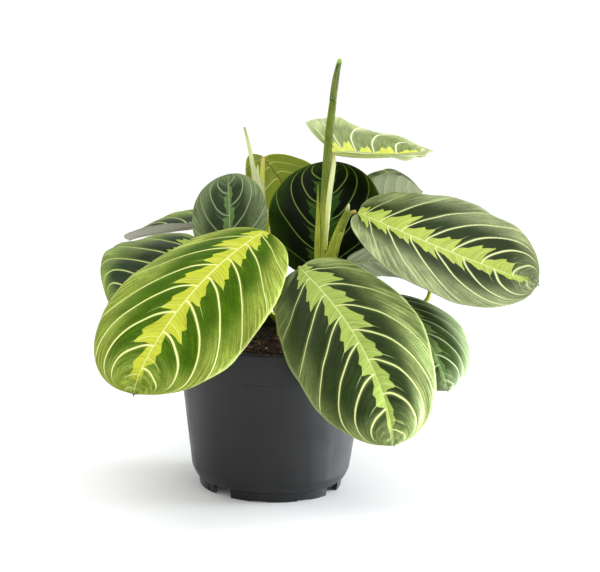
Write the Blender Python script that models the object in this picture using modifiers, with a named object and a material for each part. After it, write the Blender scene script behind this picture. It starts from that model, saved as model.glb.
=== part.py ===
"""A potted lemon-lime prayer plant: nursery pot, soil, leafy shoots and their leaves.

Metres, +Z up, feet of the pot on z = 0.  The plant's front is towards -Y.
Every piece is laid out round the pot's axis, and the whole is then shifted
by POT_AXIS, so that the origin is under the middle of the plant's own spread.
"""
import bpy
import bmesh
import math
from mathutils import Matrix, Vector, noise

for old in list(bpy.data.objects):
    bpy.data.objects.remove(old, do_unlink=True)

# ---------------------------------------------------------------- dimensions
POT_AXIS = Vector((-0.0315, 0.007, 0.0))   # where the pot's axis stands in this frame

POT_HEIGHT = 0.0965
RIM_RADIUS = 0.0600          # outside of the rim band
BAND_HEIGHT = 0.0195
BAND_STEP = 0.0012           # how far the band stands proud of the wall
BASE_RADIUS = 0.0493         # outside of the wall at the floor
FOOT_RADIUS = 0.0450         # outside of the foot ring
FOOT_HEIGHT = 0.0065
WALL = 0.0015
DRAIN_RADIUS = 0.0045
POT_STEPS = 56
FOOT_MIDDLE = 10.0           # bearing of the broad front foot, degrees from -Y
NOTCH_SPREAD = 50.5          # from the middle of a broad foot to the notch beside it
NOTCH_WIDTH = 18.0
NOTCH_HEIGHT = 0.0057
NOTCH_REACH = 0.014          # length of the notch cutter across the foot ring

SOIL_TOP = 0.0880
SOIL_LUMPS = 0.0022          # height of the lumps of peat and bark
LUMPS_PER_METRE = 90.0
SOIL_RINGS, SOIL_STEPS = 5, 32
STEM_FOOT = 0.0605           # the stems stand this high up in the soil
GAP = 0.0003                 # clearance between pieces that touch

BLADE = 0.0007               # thickness of a leaf blade
RIB = 0.0020                 # thickness at the root of the midrib
VEINS = 9                    # side veins on each half of a leaf
QUILT = 0.0004               # how far the blade swells between two veins
SLANT = 0.4                  # how far the side veins lean towards the tip
ROWS, COLUMNS = 2 * VEINS, 8
SHOULDER, SHARPNESS, LOBE = 0.48, 0.50, 0.07   # outline of a leaf, see half_width

collection = bpy.data.collections.new("potted_prayer_plant")
bpy.context.scene.collection.children.link(collection)
cutters = bpy.data.collections.new("cutters")
bpy.context.scene.collection.children.link(cutters)


# ------------------------------------------------------------------- helpers
def material(name, colour, roughness):
    """A Principled material of one colour."""
    made = bpy.data.materials.new(name)
    made.use_nodes = True
    shader = made.node_tree.nodes["Principled BSDF"]
    shader.inputs["Base Color"].default_value = (*colour, 1.0)
    shader.inputs["Roughness"].default_value = roughness
    shader.inputs["Metallic"].default_value = 0.0
    return made


def add(name, data, finish=None, home=collection):
    """Link a mesh or curve as a named object."""
    piece = bpy.data.objects.new(name, data)
    home.objects.link(piece)
    if finish:
        piece.data.materials.clear()
        piece.data.materials.append(finish)
    return piece


def mesh_from(bm, name):
    """Turn a bmesh into a mesh."""
    mesh = bpy.data.meshes.new(name)
    bm.to_mesh(mesh)
    bm.free()
    return mesh


def applied(piece):
    """The piece's mesh with its modifiers applied, as a new mesh."""
    bpy.context.view_layer.update()
    seen = piece.evaluated_get(bpy.context.evaluated_depsgraph_get())
    return bpy.data.meshes.new_from_object(seen)


def turned(name, profile, steps, home=collection):
    """A closed profile at +X, drawn down its outer side, spun about Z."""
    bm = bmesh.new()
    points = [bm.verts.new((radius, 0.0, height)) for radius, height in profile]
    for first, second in zip(points, points[1:] + points[:1]):
        bm.edges.new((first, second))
    piece = add(name, mesh_from(bm, name), home=home)
    screw = piece.modifiers.new("turn", "SCREW")
    screw.axis = "Z"
    screw.steps = screw.render_steps = steps
    screw.use_merge_vertices = True
    screw.merge_threshold = 0.00005
    return piece


def cut(piece, tool):
    """Take the tool's shape out of the piece, and keep the tool as a cutter."""
    tool.hide_render = True
    tool.display_type = "WIRE"
    boolean = piece.modifiers.new("cut", "BOOLEAN")
    boolean.operation = "DIFFERENCE"
    boolean.solver = "EXACT"
    boolean.object = tool


def stalk(name, path, sides=2, steps=5):
    """A round stalk through (x, y, z, radius) points, as a closed mesh."""
    curve = bpy.data.curves.new(name, "CURVE")
    curve.dimensions = "3D"
    curve.bevel_depth = 1.0
    curve.bevel_resolution = sides
    curve.resolution_u = steps
    curve.use_fill_caps = True
    spline = curve.splines.new("BEZIER")
    spline.bezier_points.add(len(path) - 1)
    for point, (x, y, z, radius) in zip(spline.bezier_points, path):
        point.co = (x, y, z)
        point.radius = radius
        point.handle_left_type = point.handle_right_type = "AUTO"
    rod = add(name + "_path", curve)
    mesh = applied(rod)
    bpy.data.objects.remove(rod, do_unlink=True)
    bm = bmesh.new()
    bm.from_mesh(mesh)
    bmesh.ops.remove_doubles(bm, verts=bm.verts, dist=0.00001)
    return mesh_from(bm, name)


def fused(name, meshes, finish):
    """One solid out of several that run into each other."""
    heap = bpy.data.collections.new(name + "_heap")
    bpy.context.scene.collection.children.link(heap)
    first = add(name, meshes[0], finish)
    for number, mesh in enumerate(meshes[1:]):
        add(f"{name}_{number}", mesh, home=heap)
    union = first.modifiers.new("fuse", "BOOLEAN")
    union.operation = "UNION"
    union.operand_type = "COLLECTION"
    union.collection = heap
    union.solver = "EXACT"
    whole = applied(first)
    first.modifiers.clear()
    first.data = whole
    for extra in list(heap.objects):
        bpy.data.objects.remove(extra, do_unlink=True)
    bpy.data.collections.remove(heap)
    first.data.materials.clear()
    first.data.materials.append(finish)
    first.data.shade_smooth()
    return first


# ------------------------------------------------------------------------ pot
def wall_radius(height):
    """Outside of the tapered wall at a height."""
    top = RIM_RADIUS - BAND_STEP
    slope = (top - BASE_RADIUS) / (POT_HEIGHT - BAND_HEIGHT - FOOT_HEIGHT)
    return BASE_RADIUS + slope * (height - FOOT_HEIGHT)


def foot_notch(number, bearing):
    """A box across the foot ring at a bearing from -Y."""
    bm = bmesh.new()
    bmesh.ops.create_cube(bm, size=1.0)
    along = 2.0 * FOOT_RADIUS * math.sin(math.radians(NOTCH_WIDTH / 2.0))
    bmesh.ops.scale(bm, verts=bm.verts, vec=(along, NOTCH_REACH, 2.0 * NOTCH_HEIGHT))
    notch = add(f"notch_{number}", mesh_from(bm, "notch"), home=cutters)
    turn = math.radians(bearing)
    notch.location = (FOOT_RADIUS * math.sin(turn), -FOOT_RADIUS * math.cos(turn), 0.0)
    notch.rotation_euler = (0.0, 0.0, turn)
    return notch


def make_pot(finish):
    """Rim band, tapered wall and raised floor on a notched foot ring."""
    band_foot = POT_HEIGHT - BAND_HEIGHT
    floor = FOOT_HEIGHT
    profile = [
        (RIM_RADIUS - 0.0006, POT_HEIGHT),
        (RIM_RADIUS, POT_HEIGHT - 0.0008),
        (RIM_RADIUS - 0.0003, band_foot + 0.0005),
        (wall_radius(band_foot), band_foot),
        (wall_radius(floor + 0.0060), floor + 0.0060),
        (wall_radius(floor) - 0.0008, floor + 0.0024),
        (FOOT_RADIUS + 0.0022, floor + 0.0002),
        (FOOT_RADIUS + 0.0008, floor - 0.0006),
        (FOOT_RADIUS, 0.0),
        (FOOT_RADIUS - 0.0024, 0.0),
        (FOOT_RADIUS - 0.0028, floor),
        (DRAIN_RADIUS, floor),
        (DRAIN_RADIUS, floor + WALL),
        (FOOT_RADIUS - 0.0010, floor + WALL),
        (wall_radius(floor + 0.0060) - WALL, floor + 0.0065),
        (wall_radius(band_foot) - WALL, band_foot),
        (RIM_RADIUS - 0.0006 - WALL, POT_HEIGHT),
    ]
    pot = turned("pot", profile, POT_STEPS)
    bearings = [FOOT_MIDDLE + half + side * NOTCH_SPREAD for half in (0.0, 180.0) for side in (-1, 1)]
    for number, bearing in enumerate(bearings):
        cut(pot, foot_notch(number, bearing))
    pot.data.materials.append(finish)
    return pot


# ----------------------------------------------------------------------- soil
def make_soil(finish, stems):
    """A plug of peat with a lumpy top, and a plain hole for each stem."""
    floor = FOOT_HEIGHT + WALL + GAP
    clear = WALL + GAP
    edge = wall_radius(SOIL_TOP) - clear - 0.0012
    profile = [(edge, SOIL_TOP - 0.0030)]
    profile += [
        (wall_radius(POT_HEIGHT - BAND_HEIGHT) - clear - 0.0004, POT_HEIGHT - BAND_HEIGHT),
        (wall_radius(FOOT_HEIGHT + 0.0080) - clear - 0.0004, FOOT_HEIGHT + 0.0080),
        (FOOT_RADIUS - 0.0022, floor),
        (0.0, floor),
    ]
    profile += [(edge * ring / SOIL_RINGS, SOIL_TOP) for ring in range(SOIL_RINGS)]
    bm = bmesh.new()
    points = [bm.verts.new((radius, 0.0, height)) for radius, height in profile]
    for first, second in zip(points[:5], points[1:5]):
        bm.edges.new((first, second))
    for first, second in zip(points[5:], points[6:] + points[:1]):
        bm.edges.new((first, second))
    bmesh.ops.spin(
        bm, geom=bm.verts[:] + bm.edges[:], cent=(0, 0, 0), axis=(0, 0, 1),
        angle=2.0 * math.pi, steps=SOIL_STEPS, use_merge=True,
    )
    bmesh.ops.remove_doubles(bm, verts=bm.verts, dist=0.00005)
    for vert in bm.verts:
        if vert.co.z > SOIL_TOP - 0.0001:
            vert.co.z += SOIL_LUMPS * noise.noise(vert.co * LUMPS_PER_METRE)
    bmesh.ops.recalc_face_normals(bm, faces=bm.faces)
    soil = add("soil", mesh_from(bm, "soil"), finish)
    for number, (x, y, radius) in enumerate(stems):
        bm = bmesh.new()
        bmesh.ops.create_cone(
            bm, cap_ends=True, segments=16, radius1=radius, radius2=radius, depth=0.04,
            matrix=Matrix.Translation((x, y, STEM_FOOT - GAP + 0.02)),
        )
        cut(soil, add(f"stem_hole_{number}", mesh_from(bm, "hole"), home=cutters))
    return soil


# --------------------------------------------------------------------- leaves
def half_width(along, sharp):
    """Half the blade's width at a place along the midrib, as a share of the widest."""
    widest = SHOULDER / (SHOULDER + sharp)
    full = widest ** SHOULDER * (1.0 - widest) ** sharp
    return along ** SHOULDER * (1.0 - along) ** sharp / full


def spine(base, heading, rise, length, sweep, droop, bank, twist, steps=60):
    """Points and side, up and forward directions along a leaf's midrib."""
    place = Vector(base)
    frames = []
    for step in range(steps + 1):
        part = step / steps
        turn = math.radians(heading + sweep * part)
        lift = math.radians(rise - droop * part ** 1.3)
        roll = math.radians(bank + twist * part)
        flat = Vector((math.cos(turn), math.sin(turn), 0.0))
        forward = flat * math.cos(lift) + Vector((0.0, 0.0, math.sin(lift)))
        level = Vector((math.sin(turn), -math.cos(turn), 0.0))
        over = level.cross(forward)
        side = level * math.cos(roll) + over * math.sin(roll)
        up = over * math.cos(roll) - level * math.sin(roll)
        frames.append((place.copy(), side, up, forward))
        place = place + forward * (length / steps)
    return frames


def make_leaf(name, finish, base, heading, rise, length, width, sweep=0.0, droop=0.0,
              bank=0.0, twist=0.0, fold=0.0, arch=0.0, sharp=SHARPNESS, lobe=LOBE):
    """A leaf blade: a grid bent along its midrib, folded or arched across it.

    heading is the compass angle from +X, rise the slope at the leaf's base, droop how
    much it bends down by its tip, bank how far its right side is raised, fold how far
    both halves are raised and arch how far they curve down again at the margin.
    """
    frames = spine(base, heading, rise, length, sweep, droop, bank, twist)
    bm = bmesh.new()
    bmesh.ops.create_grid(bm, x_segments=COLUMNS, y_segments=ROWS, size=1.0)
    weights = []
    for vert in bm.verts:
        across = vert.co.x
        row = round((vert.co.y + 1.0) / 2.0 * ROWS)
        even = row / ROWS
        eased = (even + (1.0 - math.cos(math.pi * even)) / 2.0) / 2.0
        out = abs(across)
        along = eased + SLANT * eased * (1.0 - eased) * out ** 1.6
        spread = half_width(along, sharp) * width / 2.0
        angle = math.radians(fold - arch * out / 2.0)
        lift = spread * out * math.sin(angle)
        lift += QUILT * (row % 2) * math.sin(math.pi * out) * math.sin(math.pi * even)
        back = lobe * length * half_width(along, sharp) * out * (1.0 - along) ** 4
        place = along * (len(frames) - 1)
        lower = min(int(place), len(frames) - 2)
        (p0, s0, u0, f0), (p1, s1, u1, f1) = frames[lower], frames[lower + 1]
        mix = place - lower
        point, side, up, forward = (
            one.lerp(two, mix) for one, two in zip((p0, s0, u0, f0), (p1, s1, u1, f1))
        )
        vert.co = point + side * (spread * across * math.cos(angle)) + up * lift - forward * back
        weights.append(1.0 - along if out < 0.01 else 0.0)
    ribs = bm.verts.layers.deform.verify()
    for vert, weight in zip(bm.verts, weights):
        vert[ribs][0] = weight
    bmesh.ops.remove_doubles(bm, verts=bm.verts, dist=0.00001)
    bmesh.ops.triangulate(bm, faces=bm.faces)
    leaf = add(name, mesh_from(bm, name), finish)
    leaf.vertex_groups.new(name="midrib")
    thick = leaf.modifiers.new("thickness", "SOLIDIFY")
    thick.thickness = RIB
    thick.offset = -1.0
    thick.vertex_group = "midrib"
    thick.thickness_vertex_group = BLADE / RIB
    leaf.data.shade_smooth()
    return leaf


# ------------------------------------------------------------ the plant itself
MAIN_SHOOT = {
    "cane": [(0.0312, 0.001, STEM_FOOT, 0.0032), (0.0312, 0.001, 0.092, 0.0031), (0.0300, 0.0, 0.130, 0.0028),
             (0.0287, 0.0, 0.165, 0.0025), (0.0292, 0.0, 0.195, 0.0024), (0.0312, 0.0, 0.222, 0.0020),
             (0.0329, 0.0, 0.2446, 0.0018)],
    "left_sheath": [(0.0275, -0.002, 0.112, 0.0022), (0.0256, -0.003, 0.149, 0.0019),
                    (0.0252, -0.003, 0.170, 0.0013), (0.0247, -0.003, 0.193, 0.0004)],
    "right_sheath": [(0.0325, -0.001, 0.112, 0.0036), (0.0348, -0.005, 0.148, 0.0041),
                     (0.0392, -0.005, 0.165, 0.0034), (0.0430, -0.005, 0.1760, 0.0022),
                     (0.0442, -0.005, 0.1815, 0.0007)],
    "right_stalk": [(0.0400, -0.005, 0.164, 0.0014), (0.0445, -0.0045, 0.1745, 0.0013),
                    (0.0485, -0.0021, 0.1763, 0.0010)],
    "top_right_stalk": [(0.0300, -0.001, 0.150, 0.0016), (0.0318, -0.001, 0.185, 0.0018),
                        (0.0337, 0.001, 0.203, 0.0017), (0.0338, 0.0036, 0.2098, 0.0010)],
    "front_stalk": [(0.0308, 0.0, 0.104, 0.0016), (0.0270, -0.013, 0.122, 0.0015),
                    (0.0190, -0.029, 0.140, 0.0013), (0.0148, -0.0378, 0.1465, 0.0010)],
    "back_stalk": [(0.0310, 0.0, 0.098, 0.0016), (0.0303, 0.012, 0.113, 0.0014),
                   (0.0300, 0.0172, 0.1305, 0.0011)],
    "under_right_stalk": [(0.0306, 0.0, 0.104, 0.0016), (0.0345, -0.003, 0.128, 0.0013),
                          (0.0425, -0.0033, 0.1440, 0.0010)],
}
LEFT_SHOOT = {
    "cane": [(0.0040, 0.029, STEM_FOOT, 0.0030), (0.0040, 0.029, 0.092, 0.0029), (-0.0010, 0.032, 0.130, 0.0027),
             (-0.0105, 0.034, 0.174, 0.0024), (-0.0143, 0.034, 0.186, 0.0021), (-0.0169, 0.034, 0.1983, 0.0016),
             (-0.0197, 0.034, 0.2111, 0.0012), (-0.0229, 0.034, 0.2230, 0.0006)],
    "sheath": [(-0.0050, 0.0330, 0.150, 0.0026), (-0.0112, 0.0345, 0.178, 0.0026),
               (-0.0137, 0.0345, 0.190, 0.0017), (-0.0138, 0.0345, 0.1987, 0.0005)],
    "back_left_stalk": [(-0.0040, 0.033, 0.145, 0.0016), (-0.0098, 0.0350, 0.176, 0.0017),
                        (-0.0108, 0.0400, 0.193, 0.0016), (-0.0107, 0.0499, 0.2012, 0.0010)],
    "front_left_stalk": [(0.0038, 0.028, 0.096, 0.0018), (0.0010, 0.010, 0.118, 0.0016),
                         (-0.0030, -0.014, 0.142, 0.0015), (-0.0064, -0.0386, 0.1671, 0.0012)],
    "left_middle_stalk": [(0.0032, 0.028, 0.100, 0.0016), (-0.0120, 0.017, 0.112, 0.0014),
                          (-0.0255, 0.000, 0.126, 0.0012), (-0.0285, -0.0050, 0.1412, 0.0010)],
    "left_stalk": [(0.0034, 0.028, 0.097, 0.0016), (-0.0160, 0.021, 0.118, 0.0014),
                   (-0.0335, 0.007, 0.137, 0.0012), (-0.0396, -0.0042, 0.1412, 0.0010)],
    "far_left_stalk": [(0.0020, 0.030, 0.110, 0.0016), (-0.0120, 0.043, 0.135, 0.0014),
                       (-0.0260, 0.049, 0.150, 0.0012), (-0.0359, 0.0497, 0.1572, 0.0010)],
    "rear_left_stalk": [(0.0038, 0.030, 0.098, 0.0016), (-0.0040, 0.038, 0.110, 0.0014),
                        (-0.0152, 0.0444, 0.1180, 0.0011)],
}
RIGHT_SHOOT = {
    "cane": [(0.0455, 0.008, STEM_FOOT, 0.0028), (0.0455, 0.008, 0.092, 0.0026), (0.0480, 0.010, 0.106, 0.0021)],
    "lower_right_stalk": [(0.0460, 0.008, 0.096, 0.0018), (0.0570, 0.016, 0.114, 0.0015),
                          (0.0694, 0.0189, 0.1202, 0.0010)],
    "rear_right_stalk": [(0.0460, 0.009, 0.096, 0.0018), (0.0600, 0.022, 0.107, 0.0016),
                         (0.0820, 0.036, 0.1105, 0.0015), (0.0970, 0.044, 0.1110, 0.0015),
                         (0.1005, 0.0455, 0.123, 0.0014), (0.0975, 0.0486, 0.1476, 0.0010)],
    "back_right_stalk": [(0.0470, 0.009, 0.099, 0.0016), (0.0505, 0.030, 0.113, 0.0014),
                         (0.0515, 0.044, 0.127, 0.0012), (0.0496, 0.0496, 0.1366, 0.0010)],
}
ROLLED_LEAF = [(0.0329, 0.0, 0.2449, 0.0020), (0.0339, 0.0, 0.2560, 0.0021),
               (0.0347, 0.0, 0.2646, 0.0018), (0.0357, 0.0, 0.2705, 0.0011)]

LEAVES = {
    "front_left": dict(base=(-0.007, -0.040, 0.169), heading=238, rise=-15, droop=30, length=0.153,
                       width=0.093, bank=12, twist=4, arch=25),
    "front_middle": dict(base=(0.015, -0.040, 0.147), heading=-34, sweep=-4, rise=-30, droop=54,
                         length=0.126, width=0.088, bank=-31, twist=-3, fold=5, arch=25),
    "right": dict(base=(0.050, -0.002, 0.176), heading=-16, sweep=3, rise=-16, droop=4, length=0.121,
                  width=0.085, bank=-22, twist=-21, fold=10, arch=15),
    "lower_right": dict(base=(0.070, 0.018, 0.1207), heading=-66, sweep=10, rise=-5, droop=59,
                        length=0.095, width=0.070, bank=-13, twist=6, fold=-5, arch=30),
    "top_right": dict(base=(0.0341, 0.0045, 0.211), heading=61, sweep=-34, rise=-11, droop=-19,
                      length=0.095, width=0.080, bank=-9, twist=8, fold=35, arch=18, sharp=0.84,
                      lobe=0.16),
    "back_middle": dict(base=(0.0300, 0.0175, 0.1316), heading=89, rise=85, droop=40, length=0.078,
                        width=0.074, bank=8, fold=8, arch=22),
    "left_middle": dict(base=(-0.0287, -0.004, 0.1430), heading=98, rise=76, droop=30, length=0.057,
                        width=0.047, bank=18, twist=3, fold=10, arch=18),
    "left": dict(base=(-0.0406, -0.0055, 0.1410), heading=219, sweep=17, rise=-23, droop=-38,
                 length=0.087, width=0.072, bank=50, twist=7, arch=20),
    "far_left": dict(base=(-0.0367, 0.050, 0.158), heading=154, sweep=-2, rise=-8, droop=6,
                     length=0.074, width=0.050, bank=-5, fold=33, arch=10),
    "back_left": dict(base=(-0.0105, 0.051, 0.2019), heading=47, sweep=32, rise=-38, droop=52,
                      length=0.090, width=0.062, bank=7, twist=8, fold=20, arch=18),
    "back_right": dict(base=(0.050, 0.050, 0.1375), heading=48, sweep=13, rise=36, droop=32,
                       length=0.090, width=0.070, bank=80, twist=23, fold=30, arch=10),
    "under_right": dict(base=(0.0436, -0.003, 0.1448), heading=14, rise=6, droop=22, length=0.074,
                        width=0.048, bank=38, fold=5, arch=10),
    "rear_left": dict(base=(-0.016, 0.045, 0.1185), heading=125, sweep=10, rise=10, droop=62,
                      length=0.122, width=0.082, fold=6, arch=28),
    "rear_right": dict(base=(0.0985, 0.0498, 0.149), heading=48, sweep=-10, rise=8, droop=52,
                       length=0.092, width=0.064, fold=8, arch=24),
}

plastic = material("black_pot_plastic", (0.035, 0.036, 0.038), 0.38)
peat = material("peat_soil", (0.055, 0.035, 0.022), 0.95)
stem_green = material("stem_green", (0.42, 0.52, 0.14), 0.45)
roll_green = material("rolled_leaf_green", (0.12, 0.26, 0.06), 0.45)
blade_green = material("leaf_green", (0.10, 0.22, 0.06), 0.40)

pieces = [make_pot(plastic)]
shoots = {"shoot_main": MAIN_SHOOT, "shoot_left": LEFT_SHOOT, "shoot_right": RIGHT_SHOOT}
feet = [shoot["cane"][0] for shoot in shoots.values()]
pieces.append(make_soil(peat, [(x, y, radius + 2.0 * GAP) for x, y, _, radius in feet]))
for shoot_name, shoot in shoots.items():
    rods = [stalk(f"{shoot_name}_{part}", path) for part, path in shoot.items()]
    pieces.append(fused(shoot_name, rods, stem_green))
pieces.append(add("rolled_leaf", stalk("rolled_leaf", ROLLED_LEAF, sides=3), roll_green))
for leaf_name, shape in LEAVES.items():
    pieces.append(make_leaf(f"leaf_{leaf_name}", blade_green, **shape))

for piece in pieces + list(cutters.objects):
    piece.location = piece.location + POT_AXIS
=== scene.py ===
import bpy
import bmesh
import random
from functools import partial, reduce
from math import cos, exp, pi, radians, sin, sqrt
from mathutils import Matrix, Vector, noise


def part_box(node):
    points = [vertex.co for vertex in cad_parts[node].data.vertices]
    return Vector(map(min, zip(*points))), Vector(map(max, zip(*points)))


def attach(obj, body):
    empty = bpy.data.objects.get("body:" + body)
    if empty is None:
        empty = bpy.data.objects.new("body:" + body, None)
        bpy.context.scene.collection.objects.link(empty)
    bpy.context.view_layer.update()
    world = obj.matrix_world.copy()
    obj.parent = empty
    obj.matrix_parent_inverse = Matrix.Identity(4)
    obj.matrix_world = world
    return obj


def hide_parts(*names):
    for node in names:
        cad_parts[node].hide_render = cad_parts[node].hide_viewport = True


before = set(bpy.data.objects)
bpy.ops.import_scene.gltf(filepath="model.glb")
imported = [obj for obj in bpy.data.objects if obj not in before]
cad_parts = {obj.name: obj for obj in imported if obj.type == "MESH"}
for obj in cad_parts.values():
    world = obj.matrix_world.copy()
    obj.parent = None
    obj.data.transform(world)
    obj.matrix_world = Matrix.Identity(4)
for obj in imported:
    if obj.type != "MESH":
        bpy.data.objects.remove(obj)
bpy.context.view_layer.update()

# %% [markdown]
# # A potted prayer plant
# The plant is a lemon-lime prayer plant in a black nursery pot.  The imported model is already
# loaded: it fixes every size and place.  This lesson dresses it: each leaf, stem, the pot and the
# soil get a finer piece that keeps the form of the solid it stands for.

scene = bpy.context.scene
pot_low, pot_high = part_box("pot")
AXIS = Vector(((pot_low.x + pot_high.x) / 2, (pot_low.y + pot_high.y) / 2, 0))
POT_TOP = pot_high.z
RIM = (pot_high.x - pot_low.x) / 2
print("pot axis", tuple(round(c, 4) for c in AXIS), "rim radius", round(RIM, 4), "top", round(POT_TOP, 4))

# %% [markdown]
# ## The camera
# House plants are mostly shown through a long lens from a little above the rim, which keeps the
# pot's sides nearly parallel.  A camera could be aimed by eye; measured from the pot's axis, it
# stays right whatever the pot's place: a little over a metre in front of it, looking eleven degrees
# down, and rolled a touch.

# %% Camera
LENS, SENSOR = 107.2, 36
PITCH, ROLL_ANGLE = radians(11.018), radians(1.685)
eye = AXIS + Vector((0.0154, -1.1, 0.342))


def place_in_scene(name, data):
    """An object that holds the data, linked to the scene."""
    made = bpy.data.objects.new(name, data)
    scene.collection.objects.link(made)
    return made


camera_data = bpy.data.cameras.new("camera")
camera_data.lens = LENS
camera_data.sensor_width = SENSOR
camera = place_in_scene("camera", camera_data)
aimed = Matrix.Rotation(pi / 2 - PITCH, 4, "X") @ Matrix.Rotation(ROLL_ANGLE, 4, "Z")
camera.matrix_world = Matrix.Translation(eye) @ aimed
scene.camera = camera
print("camera stands", round((eye - AXIS).length, 3), "m from the pot's foot")

# %% [markdown]
# ## Helpers for pieces
# A piece that replaces a solid is hung on the root body, hides that solid and takes its finishes.
# One helper does all three, so that none is forgotten.

# %% Finishing a piece
def mesh_of(name, bm):
    """A bmesh turned into a mesh of that name."""
    mesh = bpy.data.meshes.new(name)
    bm.to_mesh(mesh)
    bm.free()
    return mesh


def as_piece(name, bm, node, materials, smooth=True):
    """Turn a bmesh into a named piece that stands for a node of the frame."""
    mesh = mesh_of(name, bm)
    for polygon in mesh.polygons:
        polygon.use_smooth = smooth
    for finish in materials:
        mesh.materials.append(finish)
    piece = place_in_scene(name, mesh)
    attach(piece, "root")
    if node:
        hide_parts(node)
    return piece


def map_leaf(bm, places):
    """Write the UV map named leaf from the (along, across) place of each vertex."""
    coordinates = bm.loops.layers.uv.new("leaf")
    for face in bm.faces:
        for loop in face.loops:
            loop[coordinates].uv = places[loop.vert]


def thicken(piece, **settings):
    """Give a piece a thickness."""
    thickness = piece.modifiers.new("thickness", "SOLIDIFY")
    for name, value in settings.items():
        setattr(thickness, name, value)


def spun(points, steps, closed=False, rounding=0):
    """A profile of (radius, height) points, its corners rounded, spun once round the Z axis."""
    bm = bmesh.new()
    verts = [bm.verts.new((radius, 0, height)) for radius, height in points]
    for first, second in zip(verts, verts[1:] + (verts[:1] if closed else [])):
        bm.edges.new((first, second))
    if rounding:
        bmesh.ops.bevel(bm, geom=bm.verts[:], offset=rounding, segments=3, profile=0.5,
                        affect="VERTICES", material=-1)
    bmesh.ops.spin(bm, geom=bm.verts[:] + bm.edges[:], cent=(0, 0, 0), axis=(0, 0, 1),
                   angle=2 * pi, steps=steps, use_merge=True)
    bmesh.ops.remove_doubles(bm, verts=bm.verts, dist=0.00002)
    return bm


# %% [markdown]
# ## Helpers for shader nodes
# Leaf patterns are arithmetic on the leaf's own coordinates.  A hundred nodes could be wired by
# hand in the editor, but are hard to follow there.  Small functions place one node each, such as a
# soft step between two levels or a mix of two colours, and hand back the socket that comes out, so
# that a pattern reads like a sum.

# %% Arithmetic with nodes
def node_of(tree, kind, *terms, **settings):
    """A node; its inputs in turn get a number, a colour or a link, and None leaves one alone."""
    node = tree.nodes.new("ShaderNode" + kind)
    for name, value in settings.items():
        setattr(node, name, value)
    for term, socket in zip(terms, node.inputs):
        if isinstance(term, bpy.types.NodeSocket):
            tree.links.new(term, socket)
        elif term is not None:
            socket.default_value = term
    return node


def calc(tree, sort, *terms):
    """A Math node."""
    return node_of(tree, "Math", *terms, operation=sort).outputs[0]


def product(tree, *terms):
    """All the terms multiplied together."""
    return reduce(partial(calc, tree, "MULTIPLY"), terms)


def soft_step(tree, value, low, high, out_low=0, out_high=1):
    """A smooth step from out_low at low to out_high at high."""
    terms = (value, low, high, out_low, out_high)
    return node_of(tree, "MapRange", *terms, interpolation_type="SMOOTHSTEP").outputs[0]


def cloud(tree, place, scale, detail=3, rough=0.55):
    """A noise texture's value at a place."""
    return node_of(tree, "TexNoise", place, None, scale, detail, rough).outputs[0]


def stretched(tree, place, scale):
    """A place with each axis scaled, so that a cloud on it is drawn out."""
    return node_of(tree, "Mapping", place, None, None, scale).outputs[0]


def on_object(tree):
    """The place on the object."""
    return node_of(tree, "TexCoord").outputs["Object"]


def on_leaf(tree):
    """The UV map named leaf, whole, and its two parts."""
    place = node_of(tree, "UVMap", uv_map="leaf").outputs[0]
    parts = node_of(tree, "SeparateXYZ", place).outputs
    return place, parts[0], parts[1]


# %% Colours and materials with nodes
def paint(red, green, blue, level=1):
    """A colour given as it looks on a screen, 0 to 255, as the linear colour a shader needs."""
    return tuple(
        level * (c / 12.92 if c <= 0.04045 else ((c + 0.055) / 1.055) ** 2.4)
        for c in (red / 255, green / 255, blue / 255)
    ) + (1,)


def blend(tree, amount, first, second, sort="MIX"):
    """A mix of two colours, whose sockets are the node's seventh and eighth."""
    terms = (amount, *[None] * 5, first, second)
    return node_of(tree, "Mix", *terms, data_type="RGBA", blend_type=sort).outputs[2]


def grey_of(tree, value):
    """A grey as light as the value."""
    return node_of(tree, "CombineColor", value, value, value).outputs[0]


def new_material(name, roughness, gloss=0.5):
    """A Principled material, with its tree and shader."""
    made = bpy.data.materials.new(name)
    made.use_nodes = True
    shader = made.node_tree.nodes["Principled BSDF"]
    shader.inputs["Roughness"].default_value = roughness
    shader.inputs["Specular IOR Level"].default_value = gloss
    return made, made.node_tree, shader


def coat(tree, shader, colour, height, strength, distance):
    """Give a shader its colour, and let a height tilt its surface."""
    bump = node_of(tree, "Bump", strength, distance)
    tree.links.new(height, bump.inputs["Height"])
    tree.links.new(bump.outputs[0], shader.inputs["Normal"])
    tree.links.new(colour, shader.inputs["Base Color"])


# %% [markdown]
# ## How the side veins run
# Each side vein leaves the midrib at a steep angle, sweeps forward, and ends nearly level with the
# margin.  The lowest veins hardly sweep, those from the middle of the leaf sweep furthest, and
# those near the tip have no room to.  With s the place along the midrib, t the way out to the
# margin and q the place where the vein left the midrib,
# s = q + SWEEP t^BEND (1 - q) (FOOT + BELLY q).
# Solved for q, any point on the blade knows which vein it lies on.  Veins drawn as curves would
# have to be fitted to each leaf; this sum fits them all, and is used twice: in Python for the
# relief of the mesh, and in nodes for the colours.

# %% Vein arithmetic in Python
FOOT, BELLY = 0.2, 2.6
CROWDING = 0.75  # veins stand closer together towards the leaf's base
STAGGER = 0.42  # the left half's veins start between those of the right half
VEIN_PLANS = {  # for each look of leaf: side veins on a half, their bend and their sweep
    "lime": (7.2, 1.6, 0.6), "deep": (7, 1.6, 0.6), "satin": (7.4, 1.6, 0.6),
    "dusty": (7, 1.6, 0.6), "quilted": (6.4, 1.6, 0.6), "black": (5.4, 1.9, 0.95),
    "grey": (4.4, 1.8, 0.95), "pale": (6, 1.8, 0.42), "plain": (7, 1.6, 0.6),
}


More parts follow.
